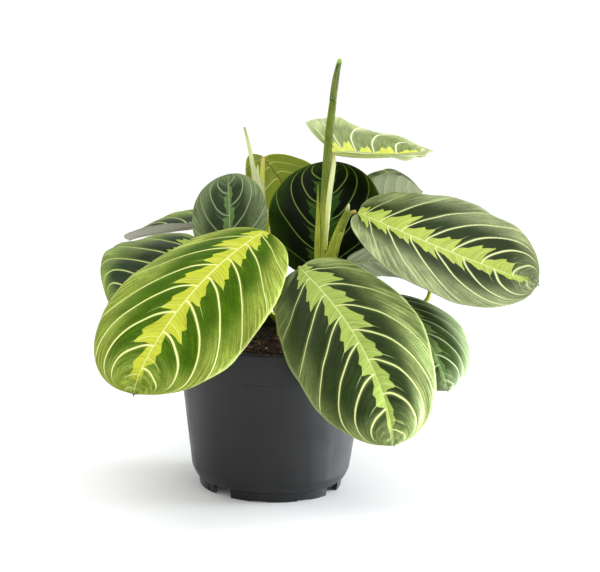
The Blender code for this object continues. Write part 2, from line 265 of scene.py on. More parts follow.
def vein_number(along, across, veins, bend, sweep):
    """Number of the vein at a point of the blade, counted from the base, with its fraction."""
    sweep = sweep * abs(across) ** bend
    straight = 1 + sweep * (BELLY - FOOT)
    rest = along - sweep * FOOT
    root = sqrt(max(0, straight ** 2 - 4 * sweep * BELLY * rest))
    source = 2 * rest / (straight + root)
    return veins * max(source, 0) ** CROWDING + (STAGGER if across < 0 else 0)


print("vein numbers along the middle of a half:",
      [round(vein_number(s / 5, 0.4, *VEIN_PLANS["lime"]), 2) for s in range(6)])

# %% [markdown]
# ## The leaf pattern as a node group
# Four marks make this leaf: pale side veins, a jagged lime feather along the midrib, a dark band
# between the veins and a paler margin with fine streaks, whose grey is partly painted sheen; the
# band's lean paints sheen too, by leaving one half paler.  They could be painted as an image, but
# would then fit one leaf and one size only.  Here they are masks, computed once in a group from the
# leaf's own UV map; each material then paints them in its own greens.

# %% The group's sockets
def new_group(name, inputs, outputs):
    """A node group with named number sockets: its tree, its inputs by name, and its outputs."""
    group = bpy.data.node_groups.new(name, "ShaderNodeTree")
    for label, value in inputs.items():
        socket = group.interface.new_socket(label, in_out="INPUT", socket_type="NodeSocketFloat")
        socket.default_value = value
    for label in outputs:
        group.interface.new_socket(label, in_out="OUTPUT", socket_type="NodeSocketFloat")
    start, end = group.nodes.new("NodeGroupInput"), group.nodes.new("NodeGroupOutput")
    return group, {socket.name: socket for socket in start.outputs if socket.name}, end.inputs


# %% Leaf pattern group
HALF_SHARE = 0.3  # a leaf's widest half, as a share of its length
WANDER = 0.2  # how far a side vein strays, in gaps between two veins
WIDEST_VEIN = 0.12  # the most that a vein takes of its gap
SMALL_VEIN, HAIR = 0.74, 0.0016  # where in its gap a small vein runs, and its width
TEETH, TOOTH_DEPTH = 3, 0.38  # teeth on a lobe of the feather, and how deep they are cut
SOFT_EDGE = 0.5  # how softly the dark band ends
PATCHY = 0.4  # how much shorter the band is in an unlucky gap


def make_leaf_pattern():
    """Masks of a prayer plant's leaf, from the UV map named leaf: U along, V across."""
    veins, bend, sweep = VEIN_PLANS["lime"]
    t, given, masks = new_group(
        "leaf_pattern",
        {"Veins": veins, "Bend": bend, "Sweep": sweep, "Vein width": 0.0054, "Feather reach": 0.066,
         "Feather taper": 0.3, "Band reach": 0.75, "Band lean": 0, "Seed": 0},
        ("Vein", "Feather", "Band", "Streak", "Midrib", "Margin", "Relief"),
    )
    step, mul = partial(soft_step, t), partial(product, t)
    add, sub, div, mad, larger, smaller = (partial(calc, t, sort) for sort in (
        "ADD", "SUBTRACT", "DIVIDE", "MULTIPLY_ADD", "MAXIMUM", "MINIMUM"))

    def vector(*terms):
        return node_of(t, "CombineXYZ", *terms).outputs[0]

    _, along, raw = on_leaf(t)
    across = mad(raw, 2, -1)
    out = calc(t, "ABSOLUTE", across)
    left = calc(t, "LESS_THAN", across, 0)
    spot = vector(along, across, given["Seed"])
    wobble = cloud(t, spot, 2.4, detail=1)
    ragged = cloud(t, spot, 12, detail=2)

    # which vein a point lies on
    sweep = mul(calc(t, "POWER", out, given["Bend"]), given["Sweep"])
    straight = mad(sweep, BELLY - FOOT, 1)
    rest = mad(sweep, -FOOT, along)
    root = calc(t, "SQRT", larger(mad(straight, straight, mul(sweep, rest, -4 * BELLY)), 0.04))
    source = larger(div(mul(rest, 2), add(straight, root)), 0)
    born = step(rest, 0, 0.02)
    number = mul(calc(t, "POWER", source, CROWDING), given["Veins"])
    number = add(mad(left, STAGGER, number), mad(wobble, WANDER, -WANDER / 2))
    phase = calc(t, "FRACT", number)
    near = smaller(phase, sub(1, phase))

    # how closely the veins run here, so that each keeps a width of its own
    half = mul(calc(t, "SQRT", larger(mul(along, 4, sub(1, along)), 0.05)), HALF_SHARE)
    slope = mul(div(mul(sweep, given["Bend"]), larger(out, 0.01)), sub(1, source))
    slope = div(mul(slope, mad(source, BELLY, FOOT)), half)
    crowd = calc(t, "SQRT", mad(slope, slope, 1))
    crowd = mul(div(crowd, larger(root, 0.3)), given["Veins"])
    width = mul(given["Vein width"], crowd, mad(out, -0.6, 1))
    width = mul(smaller(width, WIDEST_VEIN), step(along, 0.8, 1, 1, 0.45))
    vein = step(near, mul(width, 0.5), width, 1, 0)
    fade = mul(step(out, 0.92, 0.995, 1, 0.3), step(along, 0.92, 0.98, 1, 0.1))
    vein = mul(vein, mul(fade, born))
    hair = mul(crowd, HAIR)
    small = step(calc(t, "ABSOLUTE", sub(phase, SMALL_VEIN)), mul(hair, 0.4), hair, 0.6, 0)
    small = mul(small, step(out, 0.24, 0.4, 1, 0), born)

    # the feather: between two veins a lobe that leans forward, cut into three teeth
    gap = vector(mul(calc(t, "FLOOR", number), 3.7), mul(left, 5.3), given["Seed"])
    luck = step(cloud(t, gap, 1, detail=0), 0.3, 0.7, 0.75, 1.25)
    lobe = mul(step(phase, -0.15, 0.66), step(phase, 0.8, 1, 1, 0.1))
    tooth = calc(t, "PINGPONG", mad(phase, TEETH, mul(ragged, 0.5)), 0.5)
    tooth = mad(calc(t, "POWER", mul(tooth, 2), 1.2), TOOTH_DEPTH, 0.7)
    lobe = mad(lobe, tooth, mad(along, -0.24, 0.3))
    reach = div(mul(lobe, luck, given["Feather reach"]), half)
    reach = mul(reach, sub(1, mul(along, along, given["Feather taper"])),
                step(along, 0, 0.12, 0.5, 1), step(along, 0.7, 0.96, 1, 0.4))
    reach = add(reach, mad(ragged, 0.03, -0.005))
    feather = step(sub(out, reach), -0.01, 0.01, 1, 0)
    streak = cloud(t, vector(mul(number, 7), mul(out, 1.6), given["Seed"]), 1.6, 4, 0.7)
    feather = mul(feather, step(mad(streak, 0.16, sub(along, 0.08)), 0.9, 0.95, 1, 0))

    # the dark band beside it, the midrib and the margin, whose paler colour is partly painted sheen
    edge = add(mad(wobble, 0.24, given["Band reach"]), mad(luck, PATCHY, -PATCHY))
    # the band's lean is painted sheen: the band stops sooner on one half, which is left paler as if lit
    edge = mad(across, given["Band lean"], edge)
    edge = mad(streak, 0.5, sub(edge, 0.25))
    band = mul(step(out, add(edge, -SOFT_EDGE), edge, 1, 0), step(near, 0, 0.14, 0.55, 1),
               step(along, 0.78, 1, 1, 0.2))
    midrib = step(out, mad(along, -0.006, 0.009), mad(along, -0.013, 0.022), 1, 0)
    margin = step(out, 0.955, 0.995)
    relief = mad(streak, 0.5, mul(vein, -1))
    for value, label in ((larger(vein, small), "Vein"), (feather, "Feather"), (band, "Band"),
                         (streak, "Streak"), (midrib, "Midrib"), (margin, "Margin"), (relief, "Relief")):
        t.links.new(value, masks[label])
    return t


leaf_pattern = make_leaf_pattern()
print("leaf pattern group:", len(leaf_pattern.nodes), "nodes")

# %% [markdown]
# ## Leaf finishes
# No two leaves on the plant are the same green: the front left one is lime all over, the middle
# ones are nearly black between the veins, and the outer ones look grey, partly their own colour and
# partly painted sheen in their outer colours.  One material with a chance tint would miss that, so
# the group goes into one material for each look, with its own colours.  A leaf's underside is
# paler, matt and silvery, and shows the veins only faintly, so it has materials of its own.  Leaves
# are satin: their mirror-like share of the light, called gloss here, is well below that of plastic.

# %% Upper sides
STREAKS = 0.36  # how much the fine streaks lighten and darken the margin


def leaf_marks(tree, **wanted):
    """The masks of the leaf pattern, with some of its numbers set."""
    masks = node_of(tree, "Group", node_tree=leaf_pattern)
    for label, value in wanted.items():
        masks.inputs[label.replace("_", " ")].default_value = value
    return masks.outputs


def upper_finish(look, dark, outer, feather, vein, gloss=0.12, roughness=0.4, pale_streaks=0.3,
                 **wanted):
    """A leaf's upper side in four colours of its own, with the vein plan its mesh follows too."""
    made, tree, shader = new_material(f"leaf_{look}_green", roughness, gloss)
    veins, bend, sweep = VEIN_PLANS[look]
    marks = leaf_marks(tree, Veins=veins, Bend=bend, Sweep=sweep, **wanted)
    step, mix, mul = partial(soft_step, tree), partial(blend, tree), partial(product, tree)
    streak, vein_colour = marks["Streak"], paint(*vein)
    mottle = cloud(tree, on_object(tree), 70, detail=4)
    grain = cloud(tree, on_object(tree), 900, detail=2)

    # outside the band the outer colour shows: partly the leaf's own paler green, partly painted sheen
    base = mix(marks["Band"], paint(*outer), paint(*dark))
    strength = calc(tree, "MULTIPLY_ADD", marks["Band"], -0.4 * STREAKS, STREAKS)
    shade = calc(tree, "MULTIPLY_ADD", step(streak, 0.36, 0.64, -1, 1), strength, 1)
    shade = mul(shade, step(mottle, 0.32, 0.7, 0.84, 1.16), step(grain, 0.3, 0.7, 0.88, 1.12))
    base = mix(1, base, grey_of(tree, shade), "MULTIPLY")
    outside = mul(calc(tree, "SUBTRACT", 1, marks["Band"]), pale_streaks)
    base = mix(mul(step(streak, 0.5, 0.66), outside), base, vein_colour)
    flesh = mix(step(streak, 0.25, 0.6), paint(*feather, level=0.66), paint(*feather))
    base = mix(marks["Feather"], base, flesh)
    base = mix(marks["Vein"], base, vein_colour)
    base = mix(mul(marks["Midrib"], 0.8), base, vein_colour)
    edge = tuple(0.5 * (a + b) for a, b in zip(paint(*outer), vein_colour))
    base = mix(mul(marks["Margin"], 0.5), base, edge)
    dull = step(mottle, 0.3, 0.7, roughness - 0.05, roughness + 0.1)
    tree.links.new(dull, shader.inputs["Roughness"])
    coat(tree, shader, base, marks["Relief"], 0.35, 0.0006)
    return made


# the outer part's grey is partly the leaf's own colour and partly painted sheen; the band's lean paints
# sheen on one half
LOOKS = {  # dark band, outer part, feather and veins, then what else differs
    "lime": ((62, 94, 2), (134, 150, 56), (190, 198, 60), (224, 230, 150),
        dict(gloss=0.04, Seed=1.3, Feather_taper=0.1, Band_reach=0.86)),
    "deep": ((36, 52, 14), (118, 134, 74), (158, 180, 84), (208, 218, 142),
        dict(gloss=0.13, Seed=2.9, Feather_taper=0.55, Band_reach=0.8, Band_lean=0.24,
             Vein_width=0.005)),
    "satin": ((36, 52, 14), (138, 150, 104), (182, 200, 88), (224, 232, 166),
        dict(gloss=0.15, roughness=0.36, Seed=4.1, Feather_taper=0.35, Band_reach=0.78,
             Band_lean=-0.08, Feather_reach=0.08)),
    "dusty": ((44, 62, 18), (124, 140, 96), (108, 136, 72), (172, 188, 136),
        dict(Seed=5.2, Feather_taper=0.5, Band_reach=0.85)),
    "quilted": ((26, 44, 14), (114, 136, 56), (150, 176, 66), (186, 202, 124),
        dict(gloss=0.14, Seed=3.6, Feather_taper=0.4, Band_reach=0.84)),
    "black": ((12, 20, 4), (38, 62, 6), (48, 80, 24), (124, 142, 72),
        dict(gloss=0.05, Seed=6.2, Feather_reach=0.08, Band_reach=1, Vein_width=0.0046,
             pale_streaks=0.06)),
    "grey": ((38, 54, 24), (106, 122, 80), (92, 118, 62), (154, 172, 126),
        dict(Seed=7.7, Feather_reach=0.056, Feather_taper=0.95, Band_reach=0.76,
             Vein_width=0.004, pale_streaks=0.15)),
    "pale": ((128, 144, 84), (186, 198, 138), (222, 230, 94), (246, 250, 206),
        dict(Seed=9.4, Vein_width=0.0068, Band_reach=0.98, pale_streaks=0.15)),
    "plain": ((34, 52, 12), (74, 94, 40), (150, 174, 66), (196, 206, 112), dict(Seed=11)),
}
UPPER = {look: upper_finish(look, *colours, **wanted) for look, (*colours, wanted) in LOOKS.items()}
print("upper finishes:", sorted(UPPER))


# %% Undersides
def underside_finish(colour, blade, vein, flush, flush_share, seed, veins=0.75, vein_width=0.004):
    """A leaf's underside: pale, matt, faintly veined, flushed along the midrib."""
    made, tree, shader = new_material("underside_" + colour, 0.55, 0.12)
    marks = leaf_marks(tree, Seed=seed, Vein_width=vein_width, Veins=7)
    mottle = cloud(tree, on_object(tree), 90, detail=4)
    base = blend(tree, soft_step(tree, marks["Streak"], 0.3, 0.7), paint(*blade, level=0.78), paint(*blade))
    flushed = product(tree, soft_step(tree, mottle, 0.42, 0.66), flush_share)
    base = blend(tree, flushed, base, paint(*flush))
    base = blend(tree, product(tree, marks["Vein"], veins), base, paint(*vein))
    base = blend(tree, marks["Midrib"], base, paint(*flush))
    coat(tree, shader, base, product(tree, marks["Relief"], -1), 0.4, 0.0006)
    return made


UNDER = {
    "silver": underside_finish("silver_green", (146, 156, 120), (176, 184, 146), (158, 148, 104), 0.1, 3.3),
    "rosy": underside_finish("rosy_silver", (158, 158, 138), (180, 178, 158), (160, 132, 116), 0.3, 5.5),
    # the sunlit underside is painted light: light shining through a thin leaf, put into its colour as
    # bright yellow-green
    "sunlit": underside_finish("painted_backlit_yellow_green", (164, 180, 64), (228, 236, 140), (136, 132, 36), 0.12, 8.8,
                               veins=1, vein_width=0.0068),
    "light": underside_finish("light_green", (198, 212, 128), (224, 232, 164), (206, 210, 120), 0.1, 9.9),
}
print("underside finishes:", sorted(UNDER))

# %% [markdown]
# ## One leaf
# A prayer plant's blade is a thin oval with a rounded tip.  It could be sculpted, or bent with
# modifiers, but then its veins would not meet its relief.  So it is a square grid pulled onto the
# leaf: its columns run along the midrib, its rows out to the margins.  The midrib is a bent line;
# the halves fold up or arch down from it.  On top of that form comes what a thumb would feel: the
# blade swells between the veins, dips at each vein, waves a little along its margin and is grooved
# over the midrib.  Solidify then gives it a thickness, with a thicker rib underneath.

# %% Leaf outline and midrib
ROWS, COLUMNS = 132, 52
BLADE, RIB = 0.00055, 0.0018  # thickness of the blade, and of the rib at the leaf's base
SHOULDER, SHARPNESS, LOBE = 0.48, 0.5, 0.07
SLANT = 0.3  # how far the grid's rows lean towards the tip
NUB, POINT = 0.986, 0.02  # where the rounded outline ends, and how wide the small point starts
TIP_FROM = 0.8  # a tip that bends down does so from here
STEPS = 90  # pieces of the midrib


def metres(points):
    """Points given in millimetres, in metres."""
    return [[c * 0.001 for c in point] for point in points]


def half_width(along, sharp):
    """Half the blade's width at a place along the midrib, as a share of the widest."""
    widest = SHOULDER / (SHOULDER + sharp)
    full = widest ** SHOULDER * (1 - widest) ** sharp
    inside = min(along / NUB, 1)
    body = inside ** SHOULDER * (1 - inside) ** sharp / full
    point = POINT * (1 - along) / (1 - NUB) if along > NUB - POINT else 0
    return max(body, min(point, POINT))


def midrib_line(base, heading, sweep, rise, droop, length, bank, twist, tip):
    """Points and side, up and forward directions along a leaf's midrib."""
    place = Vector(base) + AXIS
    frames = []
    for step in range(STEPS + 1):
        part = step / STEPS
        turn = radians(heading + sweep * part)
        late = max(0, part - TIP_FROM) / (1 - TIP_FROM)
        lift = radians(rise - droop * part ** 1.3 - tip * late ** 2)
        roll = radians(bank + twist * part)
        flat = Vector((cos(turn), sin(turn), 0))
        forward = flat * cos(lift) + Vector((0, 0, sin(lift)))
        level = Vector((sin(turn), -cos(turn), 0))
        over = level.cross(forward)
        side = level * cos(roll) + over * sin(roll)
        up = over * cos(roll) - level * sin(roll)
        frames.append((place.copy(), side, up, forward))
        place = place + forward * (length / STEPS)
    return frames


# %% Leaf surface
QUILT = 0.00055  # how far the blade swells between two veins
GROOVE, GROOVE_WIDTH = 0.00035, 0.0012  # the groove over the midrib
RIB_WIDTH = 0.0016  # how far out the rib underneath reaches
WAVE = 0.0016  # waves along the margin
CURL_FROM = 0.82  # a curled margin starts this far out
EVEN = 0.72  # below 1, the grid's columns stand closer near the midrib


def make_leaf(name, upper, base, heading, sweep, rise, droop, length, width, bank, twist, fold, arch,
              under="silver", sharp=SHARPNESS, lobe=LOBE, tip=0, wave=1, quilt=1, curl=0):
    """One leaf, dressed, standing for the node of the same name; its measures are in mm."""
    (base, (length, width)) = metres((base, (length, width)))
    frames = midrib_line(base, heading, sweep, rise, droop, length, bank, twist, tip)
    bm = bmesh.new()
    bmesh.ops.create_grid(bm, x_segments=COLUMNS, y_segments=ROWS, size=1)
    ribs = bm.verts.layers.deform.verify()
    places = {}
    seed = Vector((len(name) * 1.7, heading * 0.1, length * 50))
    for vert in bm.verts:
        across = vert.co.x * (EVEN + (1 - EVEN) * vert.co.x ** 2)
        even = (vert.co.y + 1) / 2
        eased = (even + (1 - cos(pi * even)) / 2) / 2
        out = abs(across)
        along = eased + SLANT * eased * (1 - eased) * out ** 1.6
        half = half_width(along, sharp)
        angle = radians(fold - arch * out / 2)
        number = vein_number(along, across, *VEIN_PLANS[upper])
        ends = sin(pi * min(1, along * 1.02)) ** 0.5 if 0 < along < 0.98 else 0
        swell = abs(sin(pi * number)) ** 0.7
        uneven = 0.025 * noise.noise(seed + Vector((along * 5, 9 if across < 0 else 4, 1)))
        spread = half * width / 2 * (1 + (uneven + 0.012 * wave * (swell - 0.6) * ends) * out)
        from_rib = spread * out

        lift = from_rib * sin(angle)
        lift += QUILT * quilt * swell * sin(pi * min(1, out * 0.9 + 0.05)) * ends
        ripple = sin(pi * number + 1) * 0.6
        ripple += noise.noise(seed + Vector((along * 7, across * 1.5, 0)))
        lift += WAVE * wave * ripple * out ** 3 * ends
        lift -= GROOVE * exp(-(from_rib / GROOVE_WIDTH) ** 2)
        rolled = max(0, out - CURL_FROM) * spread if across > 0 else 0
        turned = radians(curl) * min(1, max(0, out - CURL_FROM) / 0.12)
        lift += rolled * sin(turned)
        sideways = spread * across * cos(angle) - rolled * (1 - cos(turned))
        back = lobe * length * half * out * (1 - along) ** 4

        place = min(along, 1) * STEPS
        lower = min(int(place), STEPS - 1)
        point, side, above, forward = (
            one.lerp(two, place - lower) for one, two in zip(frames[lower], frames[lower + 1])
        )
        vert.co = point + side * sideways + above * lift - forward * back
        vert[ribs][0] = (1 - along) * exp(-(from_rib / RIB_WIDTH) ** 2)
        places[vert] = (along, across / 2 + 0.5)
    map_leaf(bm, places)
    bmesh.ops.remove_doubles(bm, verts=bm.verts, dist=0.00001)
    leaf = as_piece("dressed_" + name, bm, name, (UPPER[upper], UNDER[under]))
    leaf.vertex_groups.new(name="midrib")
    thicken(leaf, thickness=RIB, offset=-1, vertex_group="midrib", thickness_vertex_group=BLADE / RIB,
            material_offset=1, material_offset_rim=1)
    return leaf


# %% [markdown]
# ## Where the leaves grow
# Leaves could be scattered by chance, but how each one is held makes the plant, so each has a row
# in a table.  Base is where the blade meets its stalk, from the pot's axis, in mm like length and
# width.  Heading is the angle from +X, rise the slope at the base, droop the bend down towards the
# tip, bank how far the right half is raised, fold and arch how the halves stand across the midrib.
# Sweep and twist are how far heading and bank change by the tip.

# %% Every leaf
LEAVES = {  # look, base, heading, sweep, rise, droop, length, width, bank, twist, fold, arch, what else
    "front_left": ("lime", (-7, -40, 169), 236, 8, -15, 30, 157, 87.8, 14, 4, 0, 25,
        dict(tip=35, sharp=0.41, wave=1.2)),
    "front_middle": ("deep", (15, -40, 147), -35, -1, -34, 46, 126, 88, -31, -3, 5, 25,
        dict(sharp=0.46, wave=1.4, quilt=1.6)),
    "right": ("satin", (50, -2, 176), -16, 3, -20, -5, 121, 85, -22, -21, 13, 15,
        dict(wave=1.3, quilt=1.4)),
    "lower_right": ("dusty", (70, 18, 120.7), -66, 10, -5, 59, 95, 70, -13, 6, -5, 30,
        dict(quilt=2, wave=0.4)),
    "top_right": ("pale", (33.6, 4.5, 212.4), 61, -34, -11, -19, 95, 75, -18, 8, 28, 18,
        dict(under="light", sharp=0.84, lobe=0.2, wave=1.6)),
    "back_middle": ("black", (30, 17.5, 131.6), 89, 0, 85, 40, 78, 74, 8, 0, 8, 22, {}),
    "left_middle": ("grey", (-28.7, -4, 143), 98, 0, 76, 30, 58.8, 48.5, 18, 3, 10, 18, {}),
    "left": ("quilted", (-45.1, -30.5, 158.3), 193, 21, -53, -45, 71.1, 106.5, 28.5, 25.5, 4, 44,
        dict(sharp=0.585, quilt=2.6, wave=1.4)),
    "far_left": ("quilted", (-36.7, 50, 158), 154, -2, -11, 6, 74, 52, 6, 0, 21, 5,
        dict(under="rosy", tip=10, wave=0.5)),
    "back_left": ("plain", (-10.5, 51, 202.7), 47, 32, -38, 52, 90, 62, 7, 8, 20, 18,
        dict(under="sunlit")),
    "back_right": ("plain", (50, 50, 140), 48, 13, 36, 32, 90, 70, 80, 23, 30, 10, dict(curl=-100)),
    "under_right": ("satin", (43.6, -3, 144.3), 14, 0, 5, 22, 74, 47, 38, 0, 5, 10, {}),
    "rear_left": ("plain", (-16, 45, 118.5), 125, 10, 10, 62, 122, 82, 0, 0, 6, 28, {}),
    "rear_right": ("satin", (98.5, 49.8, 149), 48, -10, 8, 52, 92, 64, 0, 0, 8, 24, {}),
}
for leaf_name, (*shape, other) in LEAVES.items():
    leaf = make_leaf("leaf_" + leaf_name, *shape, **other)
print("leaves:", len(LEAVES), "with", len(leaf.data.polygons), "faces a side")

# %% [markdown]
# ## Stems, stalks and sheaths
# A prayer plant has slender round stalks, each wrapped at its foot by a folded sheath that ends in
# a papery point, and a short flushed joint just under the blade, which lets the leaf turn.
# Bevelled curves would give round stalks but no flat, creased sheath.  So each is drawn out of a
# circle along a smooth path; a colour attribute carries how green, flushed or papery the skin is at
# each place, so that one material serves them all.

# %% Stem finish
def make_stem_finish():
    """Skin of the stems, from yellow-green to green, with flushed joints and papery tips."""
    made, tree, shader = new_material("stem_skin", 0.42, 0.2)
    tone = node_of(tree, "Attribute", attribute_name="tone").outputs["Color"]
    green, pink, white = node_of(tree, "SeparateColor", tone).outputs
    fibre = cloud(tree, stretched(tree, on_object(tree), (1, 1, 0.08)), 1400)
    spots = cloud(tree, on_object(tree), 260)
    streaked = product(tree, soft_step(tree, fibre, 0.35, 0.65, 0.8, 1.1),
                       soft_step(tree, spots, 0.3, 0.7, 0.88, 1.06))
    base = blend(tree, green, paint(186, 194, 66), paint(104, 120, 34))
    base = blend(tree, 1, base, grey_of(tree, streaked), "MULTIPLY")
    base = blend(tree, pink, base, paint(204, 166, 118))
    base = blend(tree, white, base, paint(224, 230, 176))
    coat(tree, shader, base, fibre, 0.25, 0.0004)
    return made


stem_skin = make_stem_finish()

# %% A stalk drawn along a path
SIDES, PER_SPAN = 18, 9  # sides of a stalk, and rings between two points of its path
TONES = {  # yellow, middling, green, pink, white, light: shares of green, pink and white
    "y": (0, 0, 0), "m": (0.45, 0, 0), "g": (1, 0, 0),
    "p": (0.3, 0.8, 0), "w": (0.2, 0, 1), "l": (0, 0, 0.75),
}


def along_curve(values, part):
    """A smooth curve through a list of tuples, read at a part from 0 to 1."""
    place = part * (len(values) - 1)
    index = min(int(place), len(values) - 2)
    mix = place - index
    four = [values[max(0, min(len(values) - 1, index + k))] for k in (-1, 0, 1, 2)]
    return [
        0.5 * (2 * b + (c - a) * mix + (2 * a - 5 * b + 4 * c - d) * mix ** 2
               + (3 * b - a - 3 * c + d) * mix ** 3)
        for a, b, c, d in zip(*four)
    ]


def draw_stalk(bm, path, tones, flat=1, crease=0):
    """Draw a circle out along (x, y, z, radius) points; flat below 1 makes a sheath of it."""
    tone = bm.verts.layers.float_color.get("tone") or bm.verts.layers.float_color.new("tone")
    path = metres(path)
    count = PER_SPAN * (len(path) - 1) + 1
    shades = [TONES[letter] for letter in tones]
    ring = bmesh.ops.create_circle(bm, cap_ends=False, radius=1, segments=SIDES)["verts"]
    round_places = [(v.co.x, v.co.y) for v in ring]
    foot = edges = list(dict.fromkeys(edge for v in ring for edge in v.link_edges))
    for step in range(count):
        part = step / (count - 1)
        x, y, z, radius = along_curve(path, part)
        here = Vector((x, y, z)) + AXIS
        before = Vector(along_curve(path, max(0, part - 0.02))[:3])
        after = Vector(along_curve(path, min(1, part + 0.02))[:3])
        ahead = (after - before).normalized()
        wide = ahead.cross(Vector((0, -1, 0))).normalized()
        deep = wide.cross(ahead)
        if step:
            grown = bmesh.ops.extrude_edge_only(bm, edges=edges)["geom"]
            edges = [item for item in grown if isinstance(item, bmesh.types.BMEdge)]
            fresh = {v for item in edges for v in item.verts}
            ring = [next(o for o in (e.other_vert(old) for e in old.link_edges) if o in fresh)
                    for old in ring]
        shade = along_curve(shades, part)
        for vert, (u, v) in zip(ring, round_places):
            dent = crease * max(0, v) ** 6 * radius
            vert.co = here + wide * (u * radius) + deep * (v * radius * flat - dent)
            vert[tone] = [min(1, max(0, c)) for c in shade] + [1]
    for end in (edges, foot):
        bmesh.ops.edgeloop_fill(bm, edges=end)


# %% [markdown]
# ## The three shoots
# The main shoot is the tall cane with its sheaths and the stalks of five leaves; the left shoot
# ends in a thin pale rolled spike; the right one is short and only its stalks show.  Growth rules
# could branch them, but listed points bring every stalk just under its own blade.

# %% Every stalk
FOOT_AT = 60.5  # the canes start in the soil, at this height in mm
SHEATHS = {"left sheath": dict(flat=0.7), "right sheath": dict(flat=0.45, crease=0.35),
           "sheath": dict(flat=0.8)}
# points along each stalk as (x, y, z, radius) in mm from the pot's axis, after its tones
SHOOTS = {
    "shoot_main": {
        "cane": ("yyymggg", (31.2, 1, FOOT_AT, 3.2), (31.2, 1, 92, 3.1), (30, 0, 130, 2.8),
         (28.7, 0, 165, 2.5), (29.2, 0, 195, 2.4), (30.5, 0, 222, 2.6), (32.4, 0, 244.6, 2.2)),
        "left sheath": ("ymmg", (27.5, -2, 112, 2.2), (25.6, -3, 149, 1.9), (25.2, -3, 170, 1.3),
         (24.7, -3, 193, 0.3)),
        "right sheath": ("mmmgw", (32.5, -1, 112, 3.2), (34.8, -5, 148, 3.6), (39.2, -5, 165, 2.9),
         (43, -5, 176, 1.8), (44.2, -5, 181.5, 0.4)),
        "right stalk": ("ggp", (40, -5, 164, 1.4), (44.5, -4.5, 174.5, 1.3),
         (48.5, -2.1, 176.3, 1.2)),
        "top right stalk": ("yllp", (30, -1, 150, 1.6), (31.8, -1, 185, 1.8), (33.7, 1, 204, 1.7),
         (33.5, 3.6, 211.2, 1.2)),
        "front stalk": ("ymmp", (30.8, 0, 104, 1.6), (27, -13, 122, 1.5), (19, -29, 140, 1.3),
         (14.8, -37.8, 146.5, 1.2)),
        "back stalk": ("ymp", (31, 0, 98, 1.6), (30.3, 12, 113, 1.4), (30, 17.2, 130.5, 1.1)),
        "under right stalk": ("ymp", (30.6, 0, 104, 1.6), (34.5, -3, 128, 1.3),
         (42.5, -3.3, 144, 1)),
    },
    "shoot_left": {
        "cane": ("yyyylllm", (4, 29, FOOT_AT, 3), (4, 29, 92, 2.9), (-1, 32, 130, 2.7),
         (-10.5, 34, 174, 2.4), (-14.3, 34, 186, 2.1), (-16.9, 34, 198.3, 1.6),
         (-19.7, 34, 211.1, 1.2), (-22.9, 34, 223, 0.6)),
        "sheath": ("ylww", (-5, 33, 150, 2.6), (-11.2, 34.5, 178, 2.6), (-13.7, 34.5, 190, 1.7),
         (-13.8, 34.5, 198.7, 0.3)),
        "back left stalk": ("ylyp", (-4, 33, 145, 1.6), (-9.8, 35, 176, 1.7), (-10.8, 40, 193, 1.6),
         (-10.7, 49.9, 201.2, 1.2)),
        "front left stalk": ("ymmp", (3.8, 28, 96, 1.8), (1, 10, 118, 1.6), (-3, -14, 142, 1.5),
         (-6.4, -38.6, 167.1, 1.2)),
        "left middle stalk": ("ymmp", (3.2, 28, 100, 1.6), (-12, 17, 112, 1.4), (-25.5, 0, 126, 1.2),
         (-28.5, -5, 141.2, 1)),
        "left stalk": ("ymmp", (3.4, 28, 97, 1.6), (-16, 21, 118, 1.4), (-40, 0, 142, 1.2),
         (-44.6, -29.4, 157.7, 1)),
        "far left stalk": ("ymmp", (2, 30, 110, 1.6), (-12, 43, 135, 1.4), (-26, 49, 150, 1.2),
         (-35.9, 49.7, 157.2, 1)),
        "rear left stalk": ("ymp", (3.8, 30, 98, 1.6), (-4, 38, 110, 1.4), (-15.2, 44.4, 118, 1.1)),
    },
    "shoot_right": {
        "cane": ("yym", (45.5, 8, FOOT_AT, 2.8), (45.5, 8, 92, 2.6), (48, 10, 106, 2.1)),
        "lower right stalk": ("ymp", (46, 8, 96, 1.8), (57, 16, 114, 1.5), (69.4, 18.9, 120.2, 1)),
        "rear right stalk": ("ymmmmp", (46, 9, 96, 1.8), (60, 22, 107, 1.6), (82, 36, 110.5, 1.5),
         (97, 44, 111, 1.5), (100.5, 45.5, 123, 1.4), (97.5, 48.6, 147.6, 1.1)),
        "back right stalk": ("ymmp", (47, 9, 99, 1.6), (50.5, 30, 113, 1.4), (51.5, 44, 127, 1.2),
         (49.6, 49.6, 136.6, 1.1)),
    },
}
for shoot_name, stalks in SHOOTS.items():
    bm = bmesh.new()
    for stalk_name, (tones, *path) in stalks.items():
        draw_stalk(bm, path, tones, **SHEATHS.get(stalk_name, {}))
    bmesh.ops.recalc_face_normals(bm, faces=bm.faces)
    print(shoot_name, "stalks:", len(stalks), "faces:", len(bm.faces))
    as_piece("dressed_" + shoot_name, bm, shoot_name, (stem_skin,))

# %% [markdown]
# ## The rolled new leaf
# A new prayer plant leaf comes up rolled tight, like a paper scroll.  A narrow cone could stand for
# it, but would lack the free edge that tells a leaf from a stem.  So a grid is wound round the top
# of the cane, a little over a turn and a half, each turn a little further out than the last.

# %% Rolled leaf
ROLL = metres([(32.4, 0, 244.9, 2.4), (33.5, 0, 256, 2.3), (34.6, 0, 264, 1.9), (35.8, 0, 270.2, 1.5)])
ROLL_TURNS, ROLL_START = 1.6, 1.2
INMOST = 0.62  # radius of the innermost turn, as a share of the outermost


def roll_finish():
    """Dark rolled leaf with a bright tip, streaked lengthwise."""
    made, tree, shader = new_material("rolled_leaf_skin", 0.42, 0.2)
    place, along, _ = on_leaf(tree)
    streak = cloud(tree, stretched(tree, place, (0.08, 1, 1)), 22)
    base = blend(tree, soft_step(tree, streak, 0.38, 0.66), paint(66, 84, 26), paint(122, 136, 66))
    base = blend(tree, soft_step(tree, along, 0.82, 0.97), base, paint(150, 190, 60))
    tree.links.new(base, shader.inputs["Base Color"])
    return made


